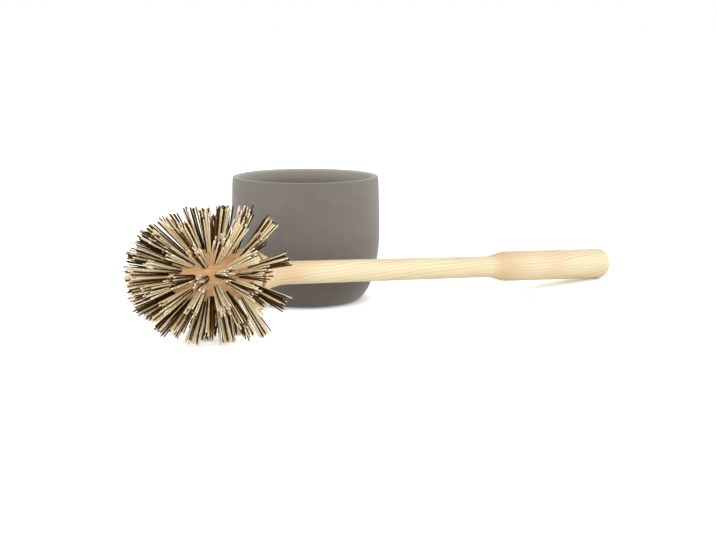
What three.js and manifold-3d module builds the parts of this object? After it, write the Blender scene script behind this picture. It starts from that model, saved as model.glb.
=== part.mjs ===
// Toilet brush with its holder: a turned birch brush with drawn fibre tufts lies on the floor in front
// of a cast concrete cup. Millimetres, +Z up. The origin is the centre of the cup's foot.
// Lengths along the brush are stations: distances from the widest section of its head, grip end positive.
import * as THREE from "three";
import { mergeVertices } from "three/addons/utils/BufferGeometryUtils.js";
import Module from "manifold-3d";

// Clearance between pieces that touch
const fitGap = 0.3;

// Cup
const cupHeight = 84.7;
const cupFootRadius = 33;
const cupBellyRadius = 50.3;
const cupBellyHeight = 48;
const cupRimRadius = 49.4;
const cupWall = 3.5;
const cupFloor = 8;
const cupLipRounding = 1.2;

// Turned head
const headRadius = 15.8;
const headNose = 31; // widest section to the front pole
const headTail = 28; // widest section to the seam
const headRimRadius = 14.8; // at the seam, shared by the handle's flange
const headSkin = 3; // depth of the wood that carries the tufts
const boreRadius = 8; // hollow for the drawing wire and the handle's spigot
const boreNoseWall = 18; // solid wood left in front of the hollow
const edgeRounding = 0.8; // turned edges at the seam

// Tufts
const rowCount = 8; // the first is one tuft at the front pole
const rowsPerBand = [3, 2, 2, 1];
const bandNames = ["tufts_nose", "tufts_front", "tufts_middle", "tufts_rear"];
const lastRowFromSeam = 9.8;
const tuftPitch = 8.3; // hole to hole, round a row
const lastRowPitch = 10.7; // the same round the last row
const tuftLength = 24.8; // out of the wood
const noseTrim = 1.2; // cut off at the front pole
const shoulderExtraLength = 2.4; // added midway between the front pole and the widest section
const rearExtraLength = 0.5; // added by the last row
const rearLean = THREE.MathUtils.degToRad(22); // last row's tilt towards the grip
const leanGrowth = 3.5; // power of the rise in tilt from the widest section
const strandsAround = 4; // round a tuft's middle strand
const rootSpread = 1.3; // ring of strands where it leaves the wood
const tipSpread = 4.2; // the same ring at the tips
const strandRootRadius = 0.65;
const strandTipRadius = 0.55;
const strandSides = 3;
const trimScatter = 1.2; // unevenness of the cut ends, each way
const trimStep = 0.618034; // share of that range from one strand to the next
const leastTufts = 1; // in a row
const rowTurn = 0.75; // of a pitch, from the underside round to the first tuft
const rowStagger = 0.5; // of a pitch, every other row

// Seam washer
const washerThickness = 0.9;
const washerInset = 0.2; // below the turned surface

// Drawing wire
const wireRadius = 0.5;
const wireTurns = 6;
const wireStepsPerTurn = 12;
const wireSides = 5;

// Handle
const handleLength = 319.3; // flange face to the grip's end
const spigotLength = 14;
const flareLength = 27;
const shaftRadius = 7.2;
const shoulderLength = 20;
const gripLength = 119; // shoulder and rounded end included
const gripNeckRadius = 10.4; // behind the shoulder
const gripRadius = 10.8; // at the rounded end
const gripEndRounding = 1.5;

// Where the brush lies
const headPlaceX = -129;
const cupToShaft = 16.3; // clear space between the cup's belly and the shaft
const floorFlat = 0.4; // how far the lowest tufts are flattened by the floor

// Facets
const cupSegments = 40;
const turnedSegments = 24;
const curveSteps = 7;
const stepsPerBand = [4, 2, 1, 1];
const collarSteps = 2;
const cornerSteps = 3;
const rimSteps = 3;
const flareSteps = 10;
const meridianSteps = 30;

const birch = new THREE.MeshStandardMaterial({ color: 0xf3e0b8, roughness: 0.5, metalness: 0 });
const concrete = new THREE.MeshStandardMaterial({ color: 0x8a837d, roughness: 0.9, metalness: 0 });
const fibre = new THREE.MeshStandardMaterial({ color: 0x7a5a38, roughness: 0.7, metalness: 0 });
const leather = new THREE.MeshStandardMaterial({ color: 0x8a5a34, roughness: 0.7, metalness: 0 });
const wire = new THREE.MeshStandardMaterial({ color: 0xb8b4ac, roughness: 0.35, metalness: 1 });

const wasm = await Module();
wasm.setup();

// Solids for joins and cuts, from closed geometry and back
function toSolid(geometry) {
  const bare = geometry.clone();
  bare.deleteAttribute("normal");
  bare.deleteAttribute("uv");
  const merged = mergeVertices(bare, 1e-4);
  const vertProperties = new Float32Array(merged.attributes.position.array);
  const triVerts = new Uint32Array(merged.index.array);
  return new wasm.Manifold(new wasm.Mesh({ numProp: 3, vertProperties, triVerts }));
}

function toGeometry(solid) {
  const { vertProperties, triVerts } = solid.getMesh();
  const geometry = new THREE.BufferGeometry();
  geometry.setAttribute("position", new THREE.BufferAttribute(new Float32Array(vertProperties), 3));
  geometry.setIndex(new THREE.BufferAttribute(new Uint32Array(triVerts), 1));
  geometry.computeVertexNormals();
  return geometry;
}

function piece(name, geometry, material) {
  const mesh = new THREE.Mesh(geometry, material);
  mesh.name = name;
  return mesh;
}

// Points (radius, height) along a curve given by a function of 0 to 1
function along(curve, steps = curveSteps) {
  return Array.from({ length: steps + 1 }, (_, i) => curve(i / steps));
}

// Rounded corner of an outline, from one unit direction round to the other about its centre
function roundCorner(centre, radius, fromAngle, toAngle) {
  return along((t) => {
    const angle = THREE.MathUtils.lerp(fromAngle, toAngle, t);
    const x = centre.x + radius * Math.cos(angle);
    return new THREE.Vector2(x, centre.y + radius * Math.sin(angle));
  }, cornerSteps);
}

// Lathe outline about the brush's axis: (radius, station) points, turned so that stations run along +X
function turned(outline) {
  return new THREE.LatheGeometry(outline, turnedSegments).rotateZ(-Math.PI / 2);
}

// Cup
function cupRadiusAbove(height, rimRadius, bellyRadius) {
  const rise = (height - cupBellyHeight) / (cupHeight - cupBellyHeight);
  return bellyRadius - (bellyRadius - rimRadius) * rise * rise;
}

function cupSide(wall, floor, top) {
  const foot = cupFootRadius - wall;
  const belly = cupBellyRadius - wall;
  const lower = along((t) => {
    const turn = (t * Math.PI) / 2;
    const radius = foot + (belly - foot) * Math.sin(turn);
    return new THREE.Vector2(radius, cupBellyHeight - (cupBellyHeight - floor) * Math.cos(turn));
  });
  const upper = along((t) => {
    const height = THREE.MathUtils.lerp(cupBellyHeight, top, t);
    return new THREE.Vector2(cupRadiusAbove(height, cupRimRadius - wall, belly), height);
  }, rimSteps);
  return [...lower, ...upper.slice(1)];
}

function holderCup() {
  const lipStart = cupHeight - cupLipRounding;
  const outerLip = new THREE.Vector2(cupRimRadius - cupLipRounding, lipStart);
  const innerLip = new THREE.Vector2(cupRimRadius - cupWall + cupLipRounding, lipStart);
  const outline = [
    new THREE.Vector2(0, 0),
    ...cupSide(0, 0, lipStart).slice(0, -1),
    ...roundCorner(outerLip, cupLipRounding, 0, Math.PI / 2),
    ...roundCorner(innerLip, cupLipRounding, Math.PI / 2, Math.PI),
    ...cupSide(cupWall, cupFloor, lipStart).slice(0, -1).reverse(),
    new THREE.Vector2(0, cupFloor),
  ];
  return piece("holder_cup", new THREE.LatheGeometry(outline, cupSegments).rotateX(Math.PI / 2), concrete);
}

// Radius of the head at a station, at a depth below its turned surface
function headRadiusAt(station, depth = 0) {
  if (station < 0) {
    const share = Math.min(1, -station / (headNose - depth));
    return (headRadius - depth) * Math.sqrt(1 - share * share);
  }
  const share = station / headTail;
  return headRadius - depth - (headRadius - headRimRadius) * share * share;
}

// Outline of the head between two stations. From the front pole, steps are even in angle.
function headOutline(from, to, depth, steps) {
  const atPole = from <= depth - headNose;
  return along((t) => {
    const share = atPole ? 1 - Math.cos((t * Math.PI) / 2) : t;
    const station = THREE.MathUtils.lerp(from, to, share);
    return new THREE.Vector2(atPole && t === 0 ? 0 : headRadiusAt(station, depth), station);
  }, steps);
}

// Rows of tufts, evenly spaced along the surface from the front pole
const lastRowStation = headTail - lastRowFromSeam;
const nosePart = headOutline(-headNose, 0, 0, meridianSteps);
const tailPart = headOutline(0, lastRowStation, 0, meridianSteps);
const meridian = new THREE.SplineCurve([...nosePart, ...tailPart.slice(1)]);
const meridianLength = meridian.getLength();
const rowPitch = meridianLength / (rowCount - 1);

const tuftRows = Array.from({ length: rowCount }, (_, row) => {
  const place = meridian.getPointAt(row / (rowCount - 1));
  const station = place.y;
  const radius = place.x;
  const behind = Math.max(0, station / lastRowStation);
  const lean = station < 0 ? Math.atan2(station, radius) : rearLean * behind ** leanGrowth;
  const forward = Math.min(0, lean);
  const trimmed = noseTrim * Math.sin(forward) ** 2 - shoulderExtraLength * Math.sin(2 * forward) ** 2;
  const pitch = row === rowCount - 1 ? lastRowPitch : tuftPitch;
  return {
    station,
    radius,
    lean,
    count: Math.max(leastTufts, Math.round((2 * Math.PI * radius) / pitch)),
    length: tuftLength - trimmed + rearExtraLength * behind,
    startAngle: rowTurn + rowStagger * (row % 2),
  };
});

// Bands of rows, parted halfway between them
const bands = rowsPerBand.map((count, band) => {
  const first = rowsPerBand.slice(0, band).reduce((sum, n) => sum + n, 0);
  return { name: bandNames[band], rows: tuftRows.slice(first, first + count) };
});

function partingAfter(band) {
  const last = bands[band].rows.at(-1).station;
  const next = band + 1 < bands.length ? bands[band + 1].rows[0].station : last + rowPitch;
  return (last + next) / 2;
}

const collarStart = partingAfter(bands.length - 1) + fitGap / 2;

// Outline of one band's wood, at a depth below the turned surface
function bandOutline(band, depth) {
  const from = band === 0 ? depth - headNose : partingAfter(band - 1) + fitGap / 2;
  const to = partingAfter(band) - fitGap / 2;
  return headOutline(from, to, depth, stepsPerBand[band]);
}

// Strands of one tuft as closed prisms, added to a shared list of points and triangles
let strandNumber = 0;

function addTuft(row, index, points, triangles) {
  const angle = (2 * Math.PI * (index + row.startAngle)) / row.count;
  const outward = new THREE.Vector3(0, Math.sin(angle), -Math.cos(angle));
  const forward = new THREE.Vector3(1, 0, 0);
  const way = outward.clone().multiplyScalar(Math.cos(row.lean)).addScaledVector(forward, Math.sin(row.lean));
  const side = new THREE.Vector3().crossVectors(forward, outward);
  const over = new THREE.Vector3().crossVectors(way, side);
  const root = outward.clone().multiplyScalar(row.radius).addScaledVector(forward, row.station);
  for (let strand = 0; strand <= strandsAround; strand += 1) {
    strandNumber += 1;
    const turn = (2 * Math.PI * strand) / strandsAround;
    const spread = strand === 0 ? 0 : 1;
    const offset = side.clone().multiplyScalar(Math.cos(turn) * spread);
    offset.addScaledVector(over, Math.sin(turn) * spread);
    const unevenness = trimScatter * (2 * ((strandNumber * trimStep) % 1) - 1);
    const start = root.clone().addScaledVector(way, -headSkin / 2).addScaledVector(offset, rootSpread);
    const end = root.clone().addScaledVector(way, row.length + unevenness).addScaledVector(offset, tipSpread);
    const base = points.length / 3;
    for (const [middle, radius] of [[start, strandRootRadius], [end, strandTipRadius]]) {
      for (let corner = 0; corner < strandSides; corner += 1) {
        const facing = (2 * Math.PI * corner) / strandSides;
        const point = middle.clone().addScaledVector(side, radius * Math.cos(facing));
        point.addScaledVector(over, radius * Math.sin(facing));
        points.push(point.x, point.y, point.z);
      }
    }
    for (let corner = 0; corner < strandSides; corner += 1) {
      const next = (corner + 1) % strandSides;
      triangles.push(base + corner, base + next, base + strandSides + next);
      triangles.push(base + corner, base + strandSides + next, base + strandSides + corner);
    }
    for (let corner = 2; corner < strandSides; corner += 1) {
      triangles.push(base, base + corner, base + corner - 1);
      triangles.push(base + strandSides, base + strandSides + corner - 1, base + strandSides + corner);
    }
  }
}

// A band: its slice of the head's wood with its tufts, cut flat where they meet the floor
function tuftBand(band, floorBlock) {
  const { name, rows } = bands[band];
  const outer = bandOutline(band, 0);
  const inner = bandOutline(band, headSkin).reverse();
  const closing = band === 0 ? [] : [outer[0].clone()];
  const slice = toSolid(turned([...outer, ...inner, ...closing]));
  const points = [];
  const triangles = [];
  for (const row of rows) {
    for (let index = 0; index < row.count; index += 1) {
      addTuft(row, index, points, triangles);
    }
  }
  const strands = new THREE.BufferGeometry();
  strands.setAttribute("position", new THREE.BufferAttribute(new Float32Array(points), 3));
  strands.setIndex(triangles);
  const solid = slice.add(toSolid(strands)).subtract(floorBlock);
  return piece(name, toGeometry(solid), fibre);
}

// Hollow head block under the bands, with its own collar at the seam
function headBlock() {
  const depth = headSkin + fitGap;
  const core = bands.flatMap((_, band) => bandOutline(band, depth));
  const collar = headOutline(collarStart, headTail - edgeRounding, 0, collarSteps);
  const rimCentre = new THREE.Vector2(headRadiusAt(headTail) - edgeRounding, headTail - edgeRounding);
  const boreEnd = boreNoseWall - headNose;
  const outline = [
    ...core,
    new THREE.Vector2(headRadiusAt(collarStart, depth), collarStart),
    ...collar.slice(0, -1),
    ...roundCorner(rimCentre, edgeRounding, 0, Math.PI / 2),
    new THREE.Vector2(boreRadius, headTail),
    new THREE.Vector2(boreRadius, boreEnd),
    new THREE.Vector2(0, boreEnd),
  ];
  return piece("head_block", turned(outline), birch);
}

function seamWasher() {
  const near = headTail + fitGap;
  const far = near + washerThickness;
  const outer = headRimRadius - washerInset;
  const outline = [
    new THREE.Vector2(boreRadius, near),
    new THREE.Vector2(outer, near),
    new THREE.Vector2(outer, far),
    new THREE.Vector2(boreRadius, far),
    new THREE.Vector2(boreRadius, near),
  ];
  return piece("seam_washer", turned(outline), leather);
}

const flangeStation = headTail + washerThickness + 2 * fitGap;

// One wire wound through the hollow head, turn by turn past the rows of holes
class WireRoute extends THREE.Curve {
  getPoint(t, target = new THREE.Vector3()) {
    const first = boreNoseWall - headNose + fitGap + wireRadius;
    const last = flangeStation - spigotLength - fitGap - wireRadius;
    const angle = 2 * Math.PI * wireTurns * t;
    const radius = boreRadius - fitGap - wireRadius;
    const station = THREE.MathUtils.lerp(first, last, t);
    return target.set(station, radius * Math.cos(angle), radius * Math.sin(angle));
  }
}

function drawingWire() {
  const route = new WireRoute();
  const corners = Array.from({ length: wireSides }, (_, corner) => {
    const facing = (2 * Math.PI * corner) / wireSides;
    return new THREE.Vector2(wireRadius * Math.cos(facing), wireRadius * Math.sin(facing));
  });
  const steps = wireTurns * wireStepsPerTurn;
  const section = new THREE.Shape(corners);
  const tube = new THREE.ExtrudeGeometry(section, { steps, extrudePath: route, curveSegments: 1 });
  const stops = route.getSpacedPoints(steps);
  let leastGap = Infinity;
  stops.forEach((stop, i) => {
    for (const other of stops.slice(i + wireStepsPerTurn / 2)) {
      leastGap = Math.min(leastGap, stop.distanceTo(other) - 2 * wireRadius);
    }
  });
  console.log(`least gap between the wire's turns: ${leastGap.toFixed(2)} mm`);
  return piece("drawing_wire", tube, wire);
}

function handle() {
  const end = flangeStation + handleLength;
  const shaftStart = flangeStation + flareLength;
  const gripStart = end - gripLength;
  const neck = gripStart + shoulderLength;
  const spigotRadius = boreRadius - fitGap;
  const flangeEdge = new THREE.Vector2(headRimRadius - edgeRounding, flangeStation + edgeRounding);
  const flare = along((t) => {
    const station = THREE.MathUtils.lerp(flangeStation + edgeRounding, shaftStart, t);
    return new THREE.Vector2(shaftRadius + (headRimRadius - shaftRadius) * (1 - t) ** 2, station);
  }, flareSteps);
  const shoulder = along((t) => {
    const radius = shaftRadius + (gripNeckRadius - shaftRadius) * THREE.MathUtils.smoothstep(t, 0, 1);
    return new THREE.Vector2(radius, THREE.MathUtils.lerp(gripStart, neck, t));
  });
  const endCorner = new THREE.Vector2(gripRadius - gripEndRounding, end - gripEndRounding);
  const outline = [
    new THREE.Vector2(0, flangeStation - spigotLength),
    new THREE.Vector2(spigotRadius, flangeStation - spigotLength),
    new THREE.Vector2(spigotRadius, flangeStation),
    ...roundCorner(flangeEdge, edgeRounding, -Math.PI / 2, 0),
    ...flare.slice(1),
    ...shoulder,
    ...roundCorner(endCorner, gripEndRounding, 0, Math.PI / 2),
    new THREE.Vector2(0, end),
  ];
  return piece("handle", turned(outline), birch);
}

// The brush rests on its tufts and on the lower side of its grip, which sets how far it tilts
const headHeight = headRadius + tuftLength - floorFlat;
const gripRest = flangeStation + handleLength - gripEndRounding;
const restReach = Math.hypot(gripRest, gripRadius);
const tilt = Math.asin(headHeight / restReach) - Math.atan2(gripRadius, gripRest);

const brush = new THREE.Group();
brush.position.set(headPlaceX, -(cupBellyRadius + cupToShaft + shaftRadius), headHeight);
brush.rotation.y = tilt;
brush.updateMatrixWorld();

// Everything under the floor, seen from the brush
const blockSize = 2 * handleLength;
const block = new THREE.BoxGeometry(blockSize, blockSize, blockSize);
block.translate(headPlaceX, brush.position.y, -blockSize / 2).applyMatrix4(brush.matrixWorld.clone().invert());
const floorBlock = toSolid(block);

brush.add(handle(), headBlock(), seamWasher(), drawingWire());
bands.forEach((_, band) => brush.add(tuftBand(band, floorBlock)));

const set = new THREE.Group();
set.add(holderCup(), brush);

export default set;
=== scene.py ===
import math
import random

import bmesh
import bpy
from mathutils import Matrix, Vector, kdtree, noise


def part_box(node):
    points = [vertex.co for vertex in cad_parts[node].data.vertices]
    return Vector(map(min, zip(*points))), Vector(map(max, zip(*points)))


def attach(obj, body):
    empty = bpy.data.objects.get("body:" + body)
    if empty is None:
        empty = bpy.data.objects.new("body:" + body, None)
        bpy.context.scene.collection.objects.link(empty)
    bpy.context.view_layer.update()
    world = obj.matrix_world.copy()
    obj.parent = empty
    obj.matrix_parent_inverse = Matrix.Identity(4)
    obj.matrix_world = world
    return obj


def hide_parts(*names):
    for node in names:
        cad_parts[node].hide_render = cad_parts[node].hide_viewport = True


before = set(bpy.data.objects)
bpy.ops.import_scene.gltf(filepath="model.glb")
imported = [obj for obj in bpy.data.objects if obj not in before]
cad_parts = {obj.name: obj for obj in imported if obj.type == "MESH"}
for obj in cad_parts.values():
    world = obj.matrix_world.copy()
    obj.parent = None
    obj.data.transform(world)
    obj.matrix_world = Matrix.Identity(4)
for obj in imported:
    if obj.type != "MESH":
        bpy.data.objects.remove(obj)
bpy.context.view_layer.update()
print("frame loaded:", ", ".join(sorted(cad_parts)))

# viewpoint of the photograph, metres and degrees
viewpoint = {
    "place": (-0.6226, -0.7947, 0.1896),
    "yaw": 40.1,  # from +Y towards +X
    "down": 9.558,
    "lens": 75.0,  # mm
    "sensor": 36.0,
    "nearest": 0.01,
}


def makeCamera():
    data = bpy.data.cameras.new("photoCamera")
    data.sensor_fit = "HORIZONTAL"
    data.sensor_width = viewpoint["sensor"]
    data.lens = viewpoint["lens"]
    data.clip_start = viewpoint["nearest"]
    camera = bpy.data.objects.new("photoCamera", data)
    camera.location = viewpoint["place"]
    tip = math.radians(90 - viewpoint["down"])
    camera.rotation_euler = (tip, 0, -math.radians(viewpoint["yaw"]))
    bpy.context.scene.collection.objects.link(camera)
    bpy.context.scene.camera = camera


# where the brush lies: stations run along its axis from the head's widest section to the grip
brush = {
    "headX": -0.129,
    "axisY": -0.0738,
    "headHeight": 0.0402,
    "gripRest": 0.3473,  # station of the grip's resting edge
    "gripRadius": 0.0108,
}


def brushTilt():
    reach = math.hypot(brush["gripRest"], brush["gripRadius"])
    return math.asin(brush["headHeight"] / reach) - math.atan2(brush["gripRadius"], brush["gripRest"])


brushSpot = Vector((brush["headX"], brush["axisY"], brush["headHeight"]))
brushPlace = Matrix.Translation(brushSpot) @ Matrix.Rotation(brushTilt(), 4, "Y")
cupPlace = Matrix.Rotation(-math.pi / 2, 4, "Y")  # stands a turned outline upright


# node helpers: sockets take a value or another node's output
def addNode(tree, kind, sockets=None, **settings):
    made = tree.nodes.new("ShaderNode" + kind)
    for key, value in settings.items():
        setattr(made, key, value)
    for key, value in (sockets or {}).items():
        if isinstance(value, bpy.types.NodeSocket):
            tree.links.new(value, made.inputs[key])
        else:
            made.inputs[key].default_value = value
    return made


def compute(tree, operation, first, second=0.0):
    return addNode(tree, "Math", {0: first, 1: second}, operation=operation).outputs[0]


def times(tree, first, second):
    return compute(tree, "MULTIPLY", first, second)


def remap(tree, value, fromMin, fromMax, toMin=0.0, toMax=1.0, smooth=True):
    sockets = {"Value": value, "From Min": fromMin, "From Max": fromMax}
    sockets.update({"To Min": toMin, "To Max": toMax})
    style = "SMOOTHSTEP" if smooth else "LINEAR"
    return addNode(tree, "MapRange", sockets, interpolation_type=style).outputs["Result"]


def mixColor(tree, amount, first, second):
    sockets = {0: amount, 6: first, 7: second}
    return addNode(tree, "Mix", sockets, data_type="RGBA", blend_type="MIX").outputs[2]


def vectorMath(tree, operation, *vectors):
    return addNode(tree, "VectorMath", dict(enumerate(vectors)), operation=operation).outputs


def separate(tree, vector):
    return addNode(tree, "SeparateXYZ", {0: vector}).outputs


def cloud(tree, vector, scale, detail, rough):
    sockets = {"Vector": vector, "Scale": scale, "Detail": detail, "Roughness": rough}
    return addNode(tree, "TexNoise", sockets).outputs["Fac"]


def stretchedCloud(tree, vector, scales, detail, rough=0.5):
    return cloud(tree, vectorMath(tree, "MULTIPLY", vector, scales)[0], 1.0, detail, rough)


def newGroup(name, inputs, outputs):
    group = bpy.data.node_groups.new(name, "ShaderNodeTree")
    for label, kind in inputs:
        group.interface.new_socket(name=label, in_out="INPUT", socket_type="NodeSocket" + kind)
    for label, kind in outputs:
        group.interface.new_socket(name=label, in_out="OUTPUT", socket_type="NodeSocket" + kind)
    return group, group.nodes.new("NodeGroupInput").outputs, group.nodes.new("NodeGroupOutput").inputs


def newMaterial(name):
    material = bpy.data.materials.new(name)
    material.use_nodes = True
    tree = material.node_tree
    tree.nodes.clear()
    shader = addNode(tree, "BsdfPrincipled")
    addNode(tree, "OutputMaterial", {"Surface": shader.outputs["BSDF"]})
    return material, tree, shader


# links what changes over the surface to the shader, and sets the rest on its sockets
def surface(tree, shader, color, roughness, plain=None):
    tree.links.new(color, shader.inputs["Base Color"])
    tree.links.new(roughness, shader.inputs["Roughness"])
    for label, value in (plain or {}).items():
        shader.inputs[label].default_value = value


def bumpInto(tree, shader, height, strength, distance):
    sockets = {"Height": height, "Strength": strength, "Distance": distance}
    tree.links.new(addNode(tree, "Bump", sockets).outputs["Normal"], shader.inputs["Normal"])


def objectPlace(tree):
    return addNode(tree, "TexCoord").outputs["Object"]


# coordinates along the brush's own axis
def brushAxes(tree):
    sockets = {"Vector": objectPlace(tree), "Location": brushSpot, "Rotation": (0, brushTilt(), 0)}
    return addNode(tree, "Mapping", sockets, vector_type="TEXTURE").outputs["Vector"]


# birch: growth rings about a pith beside the blank, fine streaks along it and small pores
birch = {
    "wander": (9, 30, 30),  # noise scales along and across the blank
    "wanderBend": 0.011,  # metres that the rings leave their circle
    "ripple": (55, 90, 90),
    "rippleBend": 0.0016,
    "pithAside": 0.012,
    "pithAbove": 0.06,
    "lateWood": (0.4, 0.88),  # share of a ring where its dark part starts and peaks
    "faintestRing": 0.45,
    "streaks": (45, 1500, 1500),
    "streakRange": (0.42, 0.72),
    "streakHeight": -0.5,
    "pores": (160, 3600, 3600),
    "poreRange": (0.66, 0.76),
    "poreTone": 0.3,
    "blush": (22, 75, 75),
    "blushRange": (0.42, 0.66),
    "roughness": (0.3, 0.75, 0.4, 0.58),
    "gloss": {"Specular IOR Level": 0.35},
    "bumpDistance": 0.0002,
}


def birchGrainGroup():
    inputs = [("Vector", "Vector"), ("Pale", "Color"), ("Blush", "Color"), ("Ring", "Color")]
    inputs += [("Ring Spacing", "Float"), ("Ring Strength", "Float"), ("Streak Strength", "Float")]
    outputs = [("Color", "Color"), ("Roughness", "Float"), ("Height", "Float")]
    group, into, out = newGroup("birchGrain", inputs, outputs)
    place = into["Vector"]
    wander = compute(group, "SUBTRACT", stretchedCloud(group, place, birch["wander"], 1.0), 0.5)
    ripple = stretchedCloud(group, place, birch["ripple"], 1.0)
    bend = compute(group, "ADD", times(group, wander, birch["wanderBend"]),
                   times(group, ripple, birch["rippleBend"]))
    axis = separate(group, place)
    rise = compute(group, "POWER", compute(group, "SUBTRACT", axis["Z"], birch["pithAbove"]), 2.0)
    aside = compute(group, "POWER", compute(group, "SUBTRACT", axis["Y"], birch["pithAside"]), 2.0)
    fromPith = compute(group, "SQRT", compute(group, "ADD", rise, aside))
    rings = compute(group, "DIVIDE", compute(group, "ADD", fromPith, bend), into["Ring Spacing"])
    phase = compute(group, "FRACT", rings)
    lateStart, latePeak = birch["lateWood"]
    late = times(group, remap(group, phase, lateStart, latePeak),
                 remap(group, phase, latePeak, 1.0, 1.0, 0.0))
    yearly = addNode(group, "TexWhiteNoise", {"W": compute(group, "FLOOR", rings)}, noise_dimensions="1D")
    yearTone = remap(group, yearly.outputs["Value"], 0, 1, birch["faintestRing"], 1.0)
    ringTone = times(group, times(group, late, yearTone), into["Ring Strength"])
    streak = stretchedCloud(group, place, birch["streaks"], 3.0, 0.6)
    fine = times(group, remap(group, streak, *birch["streakRange"]), into["Streak Strength"])
    pores = remap(group, stretchedCloud(group, place, birch["pores"], 1.0), *birch["poreRange"])
    blush = remap(group, stretchedCloud(group, place, birch["blush"], 2.0), *birch["blushRange"])
    ground = mixColor(group, blush, into["Pale"], into["Blush"])
    grained = mixColor(group, compute(group, "MAXIMUM", ringTone, fine), ground, into["Ring"])
    speckled = mixColor(group, times(group, pores, birch["poreTone"]), grained, into["Ring"])
    height = compute(group, "SUBTRACT", times(group, streak, birch["streakHeight"]), pores)
    group.links.new(speckled, out["Color"])
    group.links.new(remap(group, streak, *birch["roughness"], False), out["Roughness"])
    group.links.new(height, out["Height"])
    return group


handleFinish = {
    "Pale": (0.87, 0.79, 0.53, 1),
    "Blush": (0.875, 0.69, 0.44, 1),
    "Ring": (0.76, 0.52, 0.25, 1),
    "Ring Spacing": 0.0021,
    "Ring Strength": 0.8,
    "Streak Strength": 0.22,
}
handleGrain = {
    "endGrainAndShade": (0.74, 0.48, 0.24, 1),  # end grain on the flare and the grip's shoulder, with painted warm bounce on the flare and painted shade on the shoulder
    "flareGrainAndBounce": (0.03, 0.095, 0.5, 0.0),  # stations, then the share of that tone at each
    "shoulderFrom": (0.228, 0.24, 0.0, 0.56),
    "shoulderTo": (0.242, 0.275, 1.0, 0.0),
    "climb": (0.03, 0.22, 0.0, 0.019),  # the grain climbs along the shaft
    "climbEnd": (0.26, 0.37, 0.0, 0.007),
    "bump": 0.25,
}


def handleBirch(grainGroup):
    material, tree, shader = newMaterial("handleBirch")
    place = brushAxes(tree)
    station = separate(tree, place)["X"]
    climb = compute(tree, "ADD", remap(tree, station, *handleGrain["climb"], False),
                    remap(tree, station, *handleGrain["climbEnd"]))
    drop = addNode(tree, "CombineXYZ", {"Z": climb}).outputs[0]
    grained = vectorMath(tree, "SUBTRACT", place, drop)[0]
    grain = addNode(tree, "Group", {"Vector": grained, **handleFinish}, node_tree=grainGroup).outputs
    shoulder = times(tree, remap(tree, station, *handleGrain["shoulderFrom"]),
                     remap(tree, station, *handleGrain["shoulderTo"]))
    # end grain with painted bounce on the flare and painted shade on the shoulder
    endGrainAndShade = compute(tree, "ADD", remap(tree, station, *handleGrain["flareGrainAndBounce"]), shoulder)
    tinted = mixColor(tree, endGrainAndShade, grain["Color"], handleGrain["endGrainAndShade"])
    surface(tree, shader, tinted, grain["Roughness"], birch["gloss"])
    bumpInto(tree, shader, grain["Height"], handleGrain["bump"], birch["bumpDistance"])
    return material


# the head's birch painted darker and warmer than the handle's: painted shade and warm bounce between the
# tufts
headShadedWood = {
    "Pale": (0.74, 0.46, 0.23, 1),
    "Blush": (0.64, 0.37, 0.16, 1),
    "Ring": (0.46, 0.23, 0.1, 1),
    "Ring Spacing": 0.0024,
    "Ring Strength": 0.6,
    "Streak Strength": 0.4,
}
# the bare collar by the seam keeps the birch's own pale colour
headCollar = {
    "cream": (0.95, 0.83, 0.56, 1),
    "bare": (0.018, 0.0225, 0.0, 0.75),  # stations, then the share of cream at each
    "bump": 0.3,
}


def headBirch(grainGroup):
    material, tree, shader = newMaterial("headBirch")
    place = brushAxes(tree)
    grain = addNode(tree, "Group", {"Vector": place, **headShadedWood}, node_tree=grainGroup).outputs
    bare = remap(tree, separate(tree, place)["X"], *headCollar["bare"])
    color = mixColor(tree, bare, grain["Color"], headCollar["cream"])
    surface(tree, shader, color, grain["Roughness"], birch["gloss"])
    bumpInto(tree, shader, grain["Height"], headCollar["bump"], birch["bumpDistance"])
    return material


# plant fibre: every fibre has its own tone, darker at the root, with a paler cut end
fibreLook = {
    "streakScale": 900.0,
    "streakTone": 0.5,
    "rootShade": (0.0, 0.4, 0.4, 0.0),  # places along the fibre, then the shade at each
    "cutFrom": (1.02, 1.08),
    "roughness": (0.3, 0.7, 0.35, 0.55),
    "bump": (0.3, 0.0001),  # strength and distance
}
fibreColors = {
    "darkFibre": {
        "Deep": (0.022, 0.008, 0.001, 1),
        "Bright": (0.16, 0.07, 0.014, 1),
        "Cut": (0.36, 0.25, 0.14, 1),
    },
    "creamFibre": {
        "Deep": (0.98, 0.74, 0.4, 1),
        "Bright": (1.0, 0.88, 0.58, 1),
        "Cut": (1.0, 0.95, 0.76, 1),
    },
}
fibreSheen = {"Sheen Roughness": 0.4, "Sheen Tint": (1, 0.92, 0.74, 1)}
fibreGloss = {
    "darkFibre": {"Specular IOR Level": 0.06, "Sheen Weight": 0.0, **fibreSheen},
    "creamFibre": {"Specular IOR Level": 1.0, "Sheen Weight": 0.6, **fibreSheen},
}


def fibreToneGroup():
    inputs = [("Tone", "Float"), ("Along", "Float"), ("Vector", "Vector")]
    inputs += [("Deep", "Color"), ("Bright", "Color"), ("Cut", "Color")]
    outputs = [("Color", "Color"), ("Roughness", "Float"), ("Height", "Float")]
    group, into, out = newGroup("fibreTone", inputs, outputs)
    streak = cloud(group, into["Vector"], fibreLook["streakScale"], 3.0, 0.6)
    tone = compute(group, "ADD", into["Tone"], times(group, streak, fibreLook["streakTone"]))
    tone = compute(group, "SUBTRACT", tone, fibreLook["streakTone"] / 2)
    body = mixColor(group, tone, into["Deep"], into["Bright"])
    rooted = mixColor(group, remap(group, into["Along"], *fibreLook["rootShade"]), body, into["Deep"])
    cut = mixColor(group, remap(group, into["Along"], *fibreLook["cutFrom"]), rooted, into["Cut"])
    group.links.new(cut, out["Color"])
    group.links.new(remap(group, streak, *fibreLook["roughness"]), out["Roughness"])
    group.links.new(streak, out["Height"])
    return group


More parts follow.
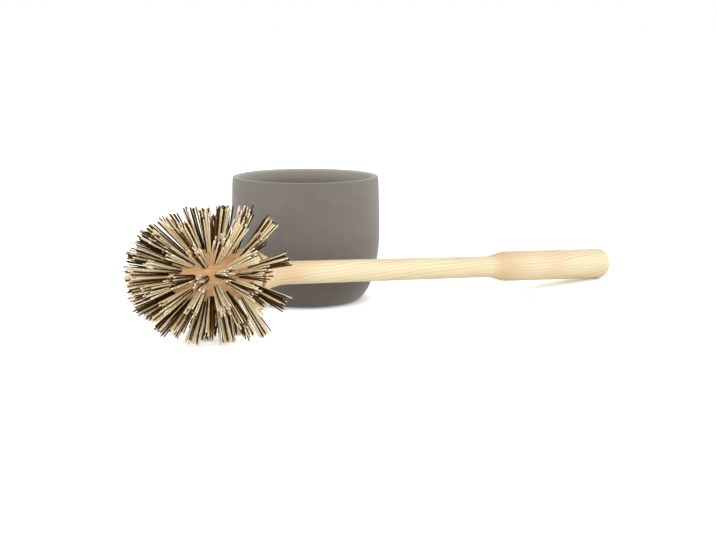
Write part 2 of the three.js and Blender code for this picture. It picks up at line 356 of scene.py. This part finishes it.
def fibreMaterial(name, toneGroup):
    material, tree, shader = newMaterial(name)
    tone = addNode(tree, "Group", node_tree=toneGroup)
    for label, key in (("Tone", "fibreTone"), ("Along", "fibreAlong")):
        attribute = addNode(tree, "Attribute", attribute_name=key)
        tree.links.new(attribute.outputs["Fac"], tone.inputs[label])
    tree.links.new(objectPlace(tree), tone.inputs["Vector"])
    for label, color in fibreColors[name].items():
        tone.inputs[label].default_value = color
    surface(tree, shader, tone.outputs["Color"], tone.outputs["Roughness"], fibreGloss[name])
    bumpInto(tree, shader, tone.outputs["Height"], *fibreLook["bump"])
    return material


# cast concrete: cloudy grey with sandy speckle and pinholes, painted shade darker towards the foot, and
# inside painted light paler near the lip, fading into painted shade deeper in
concrete = {
    "mid": (0.198, 0.174, 0.154, 1),
    "light": (0.222, 0.197, 0.176, 1),
    "dark": (0.176, 0.153, 0.134, 1),
    "drift": (22, 22, 40),
    "driftRange": (0.32, 0.68),
    "patchScale": 170.0,
    "patchRange": (0.4, 0.75, 0.0, 0.6),
    "sandScale": 1800.0,
    "sandRange": (0.5, 0.75, 0.0, 0.22),
    "sandHeight": 0.25,
    # painted shade: the cup darker towards its foot
    "footShade": (0.1, 0.084, 0.073, 1),
    "footShadeShare": (0.0, 0.07, 0.47, 0.0),  # heights, then the share of the painted foot shade at each
    # painted light: the inside paler just below the lip
    "inside": (0.475, 0.44, 0.4, 1),
    "innerShade": (0.175, 0.153, 0.135, 1),  # painted shade for the rest of the inside
    "insideHeight": (0.0722, 0.0846),
    "facesIn": (-0.6, -0.2, 1.0, 0.0),  # how far a face looks away from the cup's axis
    "facesUp": (0.4, 0.7),
    "bottomHeight": (0.03, 0.05, 1.0, 0.0),
    "pinhole": (0.12, 0.1, 0.088, 1),
    "pinholeScale": 260.0,
    "pinholeSize": (0.04, 0.09, 1.0, 0.0),
    "pinholeCells": (0.8, 0.82),  # only the cells above this have one
    "pinholeTone": 0.7,
    "roughness": (0.3, 0.7, 0.75, 0.92),
    "gloss": {"Specular IOR Level": 0.3, "Sheen Weight": 0.4, "Sheen Roughness": 0.5},
    "bump": (0.35, 0.0003),
}


# share of the cup's inside: walls that face its axis, and the level bottom
def cupInside(tree, axis):
    flat = addNode(tree, "CombineXYZ", {"X": axis["X"], "Y": axis["Y"]}).outputs[0]
    outward = vectorMath(tree, "NORMALIZE", flat)[0]
    normal = addNode(tree, "NewGeometry").outputs["Normal"]
    facing = vectorMath(tree, "DOT_PRODUCT", normal, outward)["Value"]
    level = remap(tree, separate(tree, normal)["Z"], *concrete["facesUp"])
    bottom = times(tree, level, remap(tree, axis["Z"], *concrete["bottomHeight"]))
    return compute(tree, "MAXIMUM", remap(tree, facing, *concrete["facesIn"]), bottom)


def castConcrete():
    material, tree, shader = newMaterial("castConcrete")
    place = objectPlace(tree)
    axis = separate(tree, place)
    drift = stretchedCloud(tree, place, concrete["drift"], 4.0, 0.6)
    patch = cloud(tree, place, concrete["patchScale"], 5.0, 0.65)
    sand = cloud(tree, place, concrete["sandScale"], 2.0, 0.7)
    base = mixColor(tree, remap(tree, drift, *concrete["driftRange"]), concrete["dark"], concrete["mid"])
    base = mixColor(tree, remap(tree, patch, *concrete["patchRange"]), base, concrete["light"])
    # painted shade, darker towards the foot
    base = mixColor(tree, remap(tree, axis["Z"], *concrete["footShadeShare"]), base, concrete["footShade"])
    # painted light paler near the lip, fading into painted shade deeper inside
    fade = remap(tree, axis["Z"], *concrete["insideHeight"], smooth=False)
    innerLightAndShade = mixColor(tree, fade, concrete["innerShade"], concrete["inside"])
    base = mixColor(tree, cupInside(tree, axis), base, innerLightAndShade)
    base = mixColor(tree, remap(tree, sand, *concrete["sandRange"]), base, concrete["dark"])
    cells = addNode(tree, "TexVoronoi", {"Vector": place, "Scale": concrete["pinholeScale"]}).outputs
    draw = addNode(tree, "SeparateColor", {0: cells["Color"]}).outputs[0]
    hole = times(tree, remap(tree, cells["Distance"], *concrete["pinholeSize"]),
                 remap(tree, draw, *concrete["pinholeCells"]))
    base = mixColor(tree, times(tree, hole, concrete["pinholeTone"]), base, concrete["pinhole"])
    surface(tree, shader, base, remap(tree, patch, *concrete["roughness"]), concrete["gloss"])
    relief = compute(tree, "SUBTRACT", times(tree, sand, concrete["sandHeight"]), hole)
    bumpInto(tree, shader, relief, *concrete["bump"])
    return material


leather = {
    "dark": (0.5, 0.2, 0.06, 1),
    "light": (0.62, 0.3, 0.1, 1),
    "wearScale": 240.0,
    "wearRange": (0.35, 0.7),
    "pebbleScale": 1600.0,
    "roughness": (0.3, 0.7, 0.55, 0.8),
    "bump": (0.3, 0.0001),
}


def washerLeather():
    material, tree, shader = newMaterial("washerLeather")
    place = objectPlace(tree)
    pebble = cloud(tree, place, leather["pebbleScale"], 2.0, 0.6)
    wear = cloud(tree, place, leather["wearScale"], 3.0, 0.6)
    color = mixColor(tree, remap(tree, wear, *leather["wearRange"]), leather["dark"], leather["light"])
    surface(tree, shader, color, remap(tree, pebble, *leather["roughness"]))
    bumpInto(tree, shader, pebble, *leather["bump"])
    return material


steel = {
    "pale": (0.55, 0.53, 0.5, 1),
    "dark": (0.38, 0.36, 0.33, 1),
    "lines": (300, 5000, 5000),
    "lineRange": (0.35, 0.7),
    "roughness": (0.3, 0.7, 0.28, 0.5),
}


def drawnSteel():
    material, tree, shader = newMaterial("drawnSteel")
    lines = stretchedCloud(tree, brushAxes(tree), steel["lines"], 2.0, 0.6)
    color = mixColor(tree, remap(tree, lines, *steel["lineRange"]), steel["pale"], steel["dark"])
    surface(tree, shader, color, remap(tree, lines, *steel["roughness"]), {"Metallic": 1.0})
    return material


# turned pieces: an outline of (station, radius) points swept round the X axis, then put in place
turning = {"sharpFrom": 38.0, "onAxis": 1e-6, "weld": 1e-7}


def sweep(curve, start, end, steps):
    return [curve(start + (end - start) * step / steps) for step in range(steps + 1)]


def corner(station, radius, size, fromAngle, toAngle, steps):
    angles = sweep(math.radians, fromAngle, toAngle, steps)
    return [(station + size * math.sin(a), radius + size * math.cos(a)) for a in angles]


def turnedMesh(name, outline, segments, place, move=None):
    made = bmesh.new()
    rings = []
    for station, radius in outline:
        turns = segments if radius > turning["onAxis"] else 1
        points = []
        for turn in range(turns):
            angle = 2 * math.pi * turn / segments
            points.append(Vector((station, radius * math.sin(angle), -radius * math.cos(angle))))
        if move:
            points = [move(point) for point in points]
        rings.append([made.verts.new(place @ point) for point in points])
    for near, far in zip(rings, rings[1:]):
        for turn in range(segments):
            after = (turn + 1) % segments
            loop = [near[turn % len(near)], near[after % len(near)]]
            loop += [far[after % len(far)], far[turn % len(far)]]
            made.faces.new(dict.fromkeys(loop))
    bmesh.ops.remove_doubles(made, verts=made.verts, dist=turning["weld"])
    bmesh.ops.recalc_face_normals(made, faces=made.faces)
    mesh = bpy.data.meshes.new(name)
    made.to_mesh(mesh)
    made.free()
    mesh.shade_smooth()
    mesh.set_sharp_from_angle(angle=math.radians(turning["sharpFrom"]))
    return mesh


def addPiece(name, mesh, body, materials, nodes):
    piece = bpy.data.objects.new(name, mesh)
    bpy.context.scene.collection.objects.link(piece)
    for material in materials:
        mesh.materials.append(material)
    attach(piece, body)
    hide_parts(*nodes)
    print("piece made:", name, len(mesh.polygons), "faces")


# concrete cup
_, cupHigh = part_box("holder_cup")
cup = {
    "height": cupHigh.z,
    "footRadius": 0.033,
    "bellyRadius": cupHigh.x,
    "bellyHeight": 0.048,
    "rimRadius": 0.0494,
    "wall": 0.0035,
    "floor": 0.008,
    "lip": 0.0012,
    "footEdge": 0.0012,
    "unevenness": 0.00012,
    "unevenScale": 55,
    "evenWithin": 0.01,  # of the axis
    "lowerSteps": 36,
    "upperSteps": 18,
    "lipSteps": 8,
    "segments": 180,
}


def cupSide(wall, floor, top):
    foot = cup["footRadius"] - wall
    belly = cup["bellyRadius"] - wall
    rim = cup["rimRadius"] - wall

    def lower(turn):
        radius = foot + (belly - foot) * math.sin(turn)
        return (cup["bellyHeight"] - (cup["bellyHeight"] - floor) * math.cos(turn), radius)

    def upper(height):
        rise = (height - cup["bellyHeight"]) / (cup["height"] - cup["bellyHeight"])
        return (height, belly - (belly - rim) * rise * rise)

    bowl = sweep(lower, 0, math.pi / 2, cup["lowerSteps"])
    return bowl + sweep(upper, cup["bellyHeight"], top, cup["upperSteps"])[1:]


def castUnevenness(point):
    outward = Vector((0, point.y, point.z))
    if outward.length < cup["evenWithin"]:
        return point
    return point + outward.normalized() * cup["unevenness"] * noise.noise(point * cup["unevenScale"])


def makeCup(material):
    lip, steps = cup["lip"], cup["lipSteps"]
    lipStart = cup["height"] - lip
    outside = cupSide(0, 0, lipStart)
    inside = cupSide(cup["wall"], cup["floor"], lipStart)
    outline = [(0, 0), (0, cup["footRadius"] - cup["footEdge"])]
    outline += outside[2:-1]
    outline += corner(lipStart, cup["rimRadius"] - lip, lip, 0, 90, steps)
    outline += corner(lipStart, cup["rimRadius"] - cup["wall"] + lip, lip, 90, 180, steps)
    outline += inside[-2::-1] + [(cup["floor"], 0)]
    mesh = turnedMesh("concrete_cup", outline, cup["segments"], cupPlace, castUnevenness)
    addPiece("concrete_cup", mesh, "holder", [material], ["holder_cup"])


# turned handle, from the flange at the seam to the grip's rounded end
handle = {
    "flange": 0.0295,
    "length": 0.3193,
    "spigot": 0.014,
    "spigotRadius": 0.0077,
    "rimRadius": 0.0148,
    "edge": 0.0008,
    "flare": 0.027,
    "shaftRadius": 0.0072,
    "grip": 0.119,
    "shoulder": 0.02,
    "neckRadius": 0.0104,
    "gripRadius": brush["gripRadius"],
    "endRounding": 0.0015,
    "edgeSteps": 6,
    "flareSteps": 28,
    "shaftSteps": 12,
    "shoulderSteps": 24,
    "gripSteps": 6,
    "endSteps": 12,
    "segments": 96,
}


def makeHandle(material):
    rim, shaftRadius, neckRadius = handle["rimRadius"], handle["shaftRadius"], handle["neckRadius"]
    edge, rounding = handle["edge"], handle["endRounding"]
    end = handle["flange"] + handle["length"]
    gripStart = end - handle["grip"]
    flareStart = handle["flange"] + edge
    flareEnd = handle["flange"] + handle["flare"]
    neck = gripStart + handle["shoulder"]

    def flare(station):
        left = (flareEnd - station) / (flareEnd - flareStart)
        return (station, shaftRadius + (rim - shaftRadius) * left ** 2)

    def shaft(station):
        return (station, shaftRadius)

    def shoulder(station):
        share = (station - gripStart) / handle["shoulder"]
        swell = share * share * (3 - 2 * share)
        return (station, shaftRadius + (neckRadius - shaftRadius) * swell)

    def grip(station):
        share = (station - neck) / (end - rounding - neck)
        return (station, neckRadius + (handle["gripRadius"] - neckRadius) * share)

    outline = [(handle["flange"] - handle["spigot"], 0)]
    outline += [(handle["flange"] - handle["spigot"], handle["spigotRadius"])]
    outline += [(handle["flange"], handle["spigotRadius"])]
    outline += corner(flareStart, rim - edge, edge, -90, 0, handle["edgeSteps"])
    outline += sweep(flare, flareStart, flareEnd, handle["flareSteps"])[1:]
    outline += sweep(shaft, flareEnd, gripStart, handle["shaftSteps"])[1:-1]
    outline += sweep(shoulder, gripStart, neck, handle["shoulderSteps"])
    outline += sweep(grip, neck, end - rounding, handle["gripSteps"])[1:-1]
    outline += corner(end - rounding, handle["gripRadius"] - rounding, rounding, 0, 90, handle["endSteps"])
    outline += [(end, 0)]
    mesh = turnedMesh("turned_handle", outline, handle["segments"], brushPlace)
    addPiece("turned_handle", mesh, "brush", [material], ["handle"])


# turned head, drilled for its tufts
head = {
    "radius": 0.0158,
    "nose": 0.031,
    "tail": 0.028,
    "rimRadius": 0.0148,
    "edge": 0.0008,
    "boreRadius": 0.008,
    "boreNoseWall": 0.018,
    "boreMargin": 0.001,
    "holeRadius": 0.002,
    "holeDepth": 0.0016,
    "holeEdge": 0.25,  # of the hole's radius
    "noseSteps": 100,
    "tailSteps": 70,
    "edgeSteps": 6,
    "segments": 240,
}

tufts = {
    "rows": 8,
    "rowsPerBand": (3, 2, 2, 1),
    "bands": ("nose", "front", "middle", "rear"),
    "lastRowFromSeam": 0.0098,
    "pitch": 0.0083,
    "lastRowPitch": 0.0107,
    "length": 0.0248,
    "noseTrim": 0.0012,
    "shoulderExtra": 0.0024,  # rounds the head out between nose and waist
    "rearExtra": 0.0005,
    "rearLean": 22.0,
    "leanGrowth": 3.5,
    "rowTurn": 0.75,  # of a pitch
    "rowStagger": 0.5,
    "noseSamples": 300,
    "tailSamples": 100,
}


def headPoint(station):
    if station < 0:
        share = min(1.0, -station / head["nose"])
        return (station, head["radius"] * math.sqrt(1 - share * share))
    share = station / head["tail"]
    return (station, head["radius"] - (head["radius"] - head["rimRadius"]) * share * share)


def nosePoint(turn):
    return headPoint(-head["nose"] * math.cos(turn))


# rows at even steps along the surface, from the nose to the last row
def tuftRows():
    lastRow = head["tail"] - tufts["lastRowFromSeam"]
    line = sweep(nosePoint, 0, math.pi / 2, tufts["noseSamples"])
    line += sweep(headPoint, 0, lastRow, tufts["tailSamples"])[1:]
    arcs = [0.0]
    for near, far in zip(line, line[1:]):
        arcs.append(arcs[-1] + math.dist(near, far))
    rowPitch = arcs[-1] / (tufts["rows"] - 1)
    rows = []
    for row in range(tufts["rows"]):
        spot = min(range(len(arcs)), key=lambda index: abs(arcs[index] - row * rowPitch))
        station, radius = line[spot]
        behind = max(0.0, station / lastRow)
        lean = math.radians(tufts["rearLean"]) * behind ** tufts["leanGrowth"]
        if station < 0:
            lean = math.atan2(station, radius)
        forward = min(0.0, lean)
        length = tufts["length"] - tufts["noseTrim"] * math.sin(forward) ** 2
        length += tufts["shoulderExtra"] * math.sin(2 * forward) ** 2
        pitch = tufts["lastRowPitch" if row == tufts["rows"] - 1 else "pitch"]
        rows.append({
            "station": station,
            "radius": radius,
            "lean": lean,
            "count": max(1, round(2 * math.pi * radius / pitch)),
            "length": length + tufts["rearExtra"] * behind,
            "start": tufts["rowTurn"] + tufts["rowStagger"] * (row % 2),
        })
    return rows


def rowTufts(row):
    made = []
    for index in range(row["count"]):
        angle = 2 * math.pi * (index + row["start"]) / row["count"]
        outward = Vector((0, math.sin(angle), -math.cos(angle)))
        way = outward * math.cos(row["lean"]) + Vector((math.sin(row["lean"]), 0, 0))
        side = Vector((1, 0, 0)).cross(outward)
        root = outward * row["radius"] + Vector((row["station"], 0, 0))
        over = way.cross(side)
        made.append({"root": root, "way": way, "side": side, "over": over, "length": row["length"]})
    return made


def bandTufts():
    rows = tuftRows()
    bands = []
    for count in tufts["rowsPerBand"]:
        bands.append([tuft for row in rows[:count] for tuft in rowTufts(row)])
        rows = rows[count:]
    return bands


def makeHead(material, bands):
    holes = [tuft for band in bands for tuft in band]
    tree = kdtree.KDTree(len(holes))
    for index, tuft in enumerate(holes):
        tree.insert(tuft["root"], index)
    tree.balance()
    boreEnd = head["boreNoseWall"] - head["nose"]

    def drill(point):
        inBore = math.hypot(point.y, point.z) <= head["boreRadius"]
        if inBore and point.x >= boreEnd - head["boreMargin"]:
            return point
        root, index, _ = tree.find(point)
        way = holes[index]["way"]
        aside = point - root
        reach = (aside - way * aside.dot(way)).length
        share = (head["holeRadius"] - reach) / (head["holeEdge"] * head["holeRadius"])
        sunk = max(0.0, min(1.0, share))
        return point - way * head["holeDepth"] * sunk

    edgeStart = head["tail"] - head["edge"]
    outside = sweep(nosePoint, 0, math.pi / 2, head["noseSteps"])
    outside += sweep(headPoint, 0, edgeStart, head["tailSteps"])[1:]
    outside[0] = (-head["nose"], 0)
    rimCentre = headPoint(head["tail"])[1] - head["edge"]
    outline = outside[:-1] + corner(edgeStart, rimCentre, head["edge"], 0, 90, head["edgeSteps"])
    outline += [(head["tail"], head["boreRadius"]), (boreEnd, head["boreRadius"]), (boreEnd, 0)]
    mesh = turnedMesh("turned_head", outline, head["segments"], brushPlace, drill)
    addPiece("turned_head", mesh, "brush", [material], ["head_block"])


# thin ring in the seam between head and handle
seam = {
    "start": 0.0283,
    "thickness": 0.0009,
    "outer": 0.0146,
    "inner": 0.008,
    "edge": 0.0002,
    "edgeSteps": 4,
    "segments": 120,
}


def makeSeamRing(material):
    edge, steps = seam["edge"], seam["edgeSteps"]
    near = seam["start"]
    far = near + seam["thickness"]
    outline = [(near, seam["inner"])]
    outline += corner(near + edge, seam["outer"] - edge, edge, -90, 0, steps)
    outline += corner(far - edge, seam["outer"] - edge, edge, 0, 90, steps)
    outline += [(far, seam["inner"]), (near, seam["inner"])]
    mesh = turnedMesh("seam_ring", outline, seam["segments"], brushPlace)
    addPiece("seam_ring", mesh, "brush", [material], ["seam_washer"])


# fibres: each one a thin bowed stalk, dark or cream by the mix of its tuft
fibres = {
    "count": 18,  # in a tuft
    "rootSpread": 0.00175,
    "tipSpread": 0.0047,
    "spreadRange": (0.9, 1.1),
    "rootDepth": 0.003,
    "trim": 0.0011,
    "trimSpread": 0.6,
    "bow": 0.0003,
    "wobble": 0.00005,
    "strayShare": 0.05,
    "straySpread": 1.3,  # strays spread and bow more, and stand out further
    "strayBow": 2.5,
    "strayReach": 1.5,
    "thick": (0.0004, 0.00056),
    "taper": 0.15,
    "girthRange": (0.92, 1.08),
    "cutSlant": 0.0003,
    "spiralTurn": 2.39996,  # radians between one fibre and the next
    "spiralLuck": 0.3,
    "darkShare": (0.15, 0.64),  # fewest and most of a tuft
    "darkShareDraw": (3.2, 3.1),
    "darkSide": 0.1,  # how much the dark ones keep to one side
    "darkTone": (1.3, 2.2),
    "creamTone": (2.2, 1.4),
    "sides": 5,
    "steps": 6,
    "lift": 0.0005,  # least height of a fibre's middle over the floor
    "floorGap": 0.00005,
    "cutAlong": 1.1,  # place along the fibre that marks its cut end
    "seed": 11,
}
# each fibre's own cell of the bake map, with its sides below and its two ends above
bakeCell = {"fill": 0.9, "sides": 0.8, "ends": (0.25, 0.75), "endHeight": 0.91, "endSize": (0.1, 0.08)}


def fibreLine(tuft, offset, luck):
    start = tuft["root"] - tuft["way"] * fibres["rootDepth"] + offset * fibres["rootSpread"]
    length = tuft["length"] + luck.gauss(0, fibres["trimSpread"]) * fibres["trim"]
    spread = fibres["tipSpread"] * luck.uniform(*fibres["spreadRange"])
    bow = fibres["bow"]
    if luck.random() < fibres["strayShare"]:
        spread *= fibres["straySpread"]
        bow *= fibres["strayBow"]
        length += luck.uniform(0, fibres["strayReach"]) * fibres["trim"]
    end = tuft["root"] + tuft["way"] * length + offset * spread
    sway = tuft["side"] * luck.gauss(0, bow) + tuft["over"] * luck.gauss(0, bow)
    middle = (start + end) / 2 + sway
    points = []
    for step in range(fibres["steps"] + 1):
        t = step / fibres["steps"]
        point = start * (1 - t) ** 2 + middle * 2 * t * (1 - t) + end * t * t
        wobble = Vector((luck.gauss(0, 1), luck.gauss(0, 1), luck.gauss(0, 1))) * fibres["wobble"] * t
        point = brushPlace @ (point + wobble)
        point.z = max(point.z, fibres["lift"])
        points.append(point)
    return points


def fibreRings(points, radius, slant, luck):
    last = fibres["steps"]
    rings = []
    for step, point in enumerate(points):
        t = step / last
        ahead = points[min(step + 1, last)] - points[max(step - 1, 0)]
        ahead.normalize()
        across = ahead.orthogonal().normalized()
        beside = ahead.cross(across)
        girth = radius * (1 - fibres["taper"] * t) * luck.uniform(*fibres["girthRange"])
        ring = []
        for side in range(fibres["sides"]):
            facing = 2 * math.pi * side / fibres["sides"]
            spot = point + (across * math.cos(facing) + beside * math.sin(facing)) * girth
            if step == last:
                spot += ahead * slant * math.cos(facing)
            spot.z = max(spot.z, fibres["floorGap"])
            ring.append(spot)
        rings.append(ring)
    return rings


def tuftFibres(tuft, luck):
    fewest, most = fibres["darkShare"]
    darkest = luck.uniform(0, 2 * math.pi)
    darkShare = max(fewest, min(most, luck.betavariate(*fibres["darkShareDraw"])))
    made = []
    for index in range(fibres["count"]):
        reach = math.sqrt((index + 0.5) / fibres["count"])
        angle = index * fibres["spiralTurn"] + luck.uniform(-fibres["spiralLuck"], fibres["spiralLuck"])
        offset = (tuft["side"] * math.cos(angle) + tuft["over"] * math.sin(angle)) * reach
        lean = 0.5 + fibres["darkSide"] * reach * math.cos(angle - darkest) + luck.uniform(-0.5, 0.5)
        dark = lean < darkShare
        points = fibreLine(tuft, offset, luck)
        radius = luck.uniform(*fibres["thick"])
        tone = luck.betavariate(*fibres["darkTone" if dark else "creamTone"])
        slant = luck.gauss(0, fibres["cutSlant"])
        rings = fibreRings(points, radius, slant, luck)
        made.append({"kind": 0 if dark else 1, "tone": tone, "rings": rings})
    return made


# a fibre's faces and their places on the bake map: sides from root to tip, then the two ends
def fibreFaces(base, left, low, size):
    sides, steps = fibres["sides"], fibres["steps"]
    faces, places = [], []
    for step in range(steps):
        for side in range(sides):
            after = (side + 1) % sides
            ring = base + step * sides
            faces.append((ring + side, ring + after, ring + sides + after, ring + sides + side))
            u0, u1 = left + size * side / sides, left + size * (side + 1) / sides
            v0 = low + bakeCell["sides"] * size * step / steps
            v1 = low + bakeCell["sides"] * size * (step + 1) / steps
            places += [u0, v0, u1, v0, u1, v1, u0, v1]
    width, height = bakeCell["endSize"]
    rootLoop = range(base, base + sides)
    cutLoop = range(base + (steps + 1) * sides, base + (steps + 2) * sides)
    for loop, shift in zip((reversed(rootLoop), cutLoop), bakeCell["ends"]):
        faces.append(tuple(loop))
        for side in range(sides):
            facing = 2 * math.pi * side / sides
            places += [left + size * (shift + width * math.cos(facing))]
            places += [low + size * (bakeCell["endHeight"] + height * math.sin(facing))]
    return faces, places


def makeFibres(name, band, materials, luck):
    verts, faces, tones, alongs, kinds, places = [], [], [], [], [], []
    made = [fibre for tuft in band for fibre in tuftFibres(tuft, luck)]
    columns = math.ceil(math.sqrt(len(made)))
    size = bakeCell["fill"] / columns
    for cell, fibre in enumerate(made):
        base = len(verts)
        for step, ring in enumerate(fibre["rings"]):
            verts += ring
            alongs += [step / fibres["steps"]] * len(ring)
        verts += [spot.copy() for spot in fibre["rings"][-1]]
        alongs += [fibres["cutAlong"]] * fibres["sides"]
        tones += [fibre["tone"]] * (len(verts) - base)
        left, low = (cell % columns) / columns, (cell // columns) / columns
        fibreLoops, fibrePlaces = fibreFaces(base, left, low, size)
        faces += fibreLoops
        places += fibrePlaces
        kinds += [fibre["kind"]] * len(fibreLoops)
    mesh = bpy.data.meshes.new(name)
    mesh.from_pydata(verts, [], faces)
    mesh.attributes.new("fibreTone", "FLOAT", "POINT").data.foreach_set("value", tones)
    mesh.attributes.new("fibreAlong", "FLOAT", "POINT").data.foreach_set("value", alongs)
    mesh.uv_layers.new(name="OFBake").data.foreach_set("uv", places)
    mesh.polygons.foreach_set("material_index", kinds)
    mesh.shade_smooth()
    mesh.update()
    addPiece(name, mesh, "brush", materials, ["tufts_" + name.split("_")[0]])


# pale floor that keeps the shadows, white surroundings and soft light
studio = {
    "floorSize": 30.0,
    "floorColor": (0.93, 0.93, 0.93, 1),
    "floorGlow": 0.6,
    "contactGlow": 0.2,  # under and right beside a contact
    "contactReach": 0.012,  # how far the shade round a contact goes
    "contactShade": (0.15, 0.8),
    "contactSamples": 16,
    "skyStrength": 0.55,
    "softKey": {"strength": 1.73, "angle": 70.0, "from": (0.8, -0.6, 0.3)},
    "softFill": {"strength": 1.35, "angle": 70.0, "from": (-0.95, 0.25, 0.22)},
    "frontLight": {"strength": 0.42, "angle": 15.0, "from": (-0.58, -0.8, 0.3)},
    "headLight": {
        "power": 0.46,
        "size": 0.2,
        "place": (-0.43, -0.36, 0.18),
        "aim": (-0.14, -0.08, 0.04),
    },
}


def makeFloor():
    mesh = bpy.data.meshes.new("paleFloor")
    half = studio["floorSize"] / 2
    corners = [(-half, -half, 0), (half, -half, 0), (half, half, 0), (-half, half, 0)]
    mesh.from_pydata(corners, [], [(0, 1, 2, 3)])
    floor = bpy.data.objects.new("paleFloor", mesh)
    bpy.context.scene.collection.objects.link(floor)
    material, tree, shader = newMaterial("paleFloor")
    shader.inputs["Base Color"].default_value = studio["floorColor"]
    shader.inputs["Roughness"].default_value = 1.0
    shader.inputs["Specular IOR Level"].default_value = 0.0
    shader.inputs["Emission Color"].default_value = (1, 1, 1, 1)
    seen = addNode(tree, "LightPath").outputs["Is Camera Ray"]
    openness = addNode(tree, "AmbientOcclusion", {"Distance": studio["contactReach"]},
                       samples=studio["contactSamples"]).outputs["AO"]
    glow = remap(tree, openness, *studio["contactShade"], studio["contactGlow"], studio["floorGlow"])
    tree.links.new(times(tree, seen, glow), shader.inputs["Emission Strength"])
    mesh.materials.append(material)


# white where the camera, a gloss or a see-through surface shows it, plain light elsewhere
def makeSky():
    world = bpy.data.worlds.new("whiteStudio")
    bpy.context.scene.world = world
    world.use_nodes = True
    tree = world.node_tree
    tree.nodes.clear()
    path = addNode(tree, "LightPath").outputs
    seen = compute(tree, "MAXIMUM", path["Is Camera Ray"], path["Is Glossy Ray"])
    seen = compute(tree, "MAXIMUM", seen, path["Is Transmission Ray"])
    strength = remap(tree, seen, 0, 1, studio["skyStrength"], 1.0, False)
    sky = addNode(tree, "Background", {"Color": (1, 1, 1, 1), "Strength": strength})
    addNode(tree, "OutputWorld", {"Surface": sky.outputs["Background"]})


def addLamp(light, towards):
    lamp = bpy.data.objects.new(light.name, light)
    lamp.rotation_euler = Vector(towards).to_track_quat("Z", "Y").to_euler()
    bpy.context.scene.collection.objects.link(lamp)
    return lamp


def makeLamps():
    for name in ("softKey", "softFill", "frontLight"):
        light = bpy.data.lights.new(name, "SUN")
        light.energy = studio[name]["strength"]
        light.angle = math.radians(studio[name]["angle"])
        addLamp(light, studio[name]["from"])
    near = studio["headLight"]
    light = bpy.data.lights.new("headLight", "AREA")
    light.shape = "DISK"
    light.size = near["size"]
    light.energy = near["power"]
    lamp = addLamp(light, Vector(near["place"]) - Vector(near["aim"]))
    lamp.location = near["place"]
    lamp.visible_camera = False


makeCamera()
print("camera set")
bpy.context.scene.view_settings.view_transform = "Standard"
makeFloor()
makeSky()
makeLamps()
print("studio lit")
makeCup(castConcrete())
grainGroup = birchGrainGroup()
makeHandle(handleBirch(grainGroup))
bands = bandTufts()
print("tufts laid out:", [len(band) for band in bands])
makeHead(headBirch(grainGroup), bands)
makeSeamRing(washerLeather())
toneGroup = fibreToneGroup()
fibreMaterials = [fibreMaterial(name, toneGroup) for name in fibreColors]
luck = random.Random(fibres["seed"])
for bandName, band in zip(tufts["bands"], bands):
    makeFibres(bandName + "_fibres", band, fibreMaterials, luck)
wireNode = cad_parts["drawing_wire"]
wireNode.data.materials.clear()
wireNode.data.materials.append(drawnSteel())
print("wire finished")
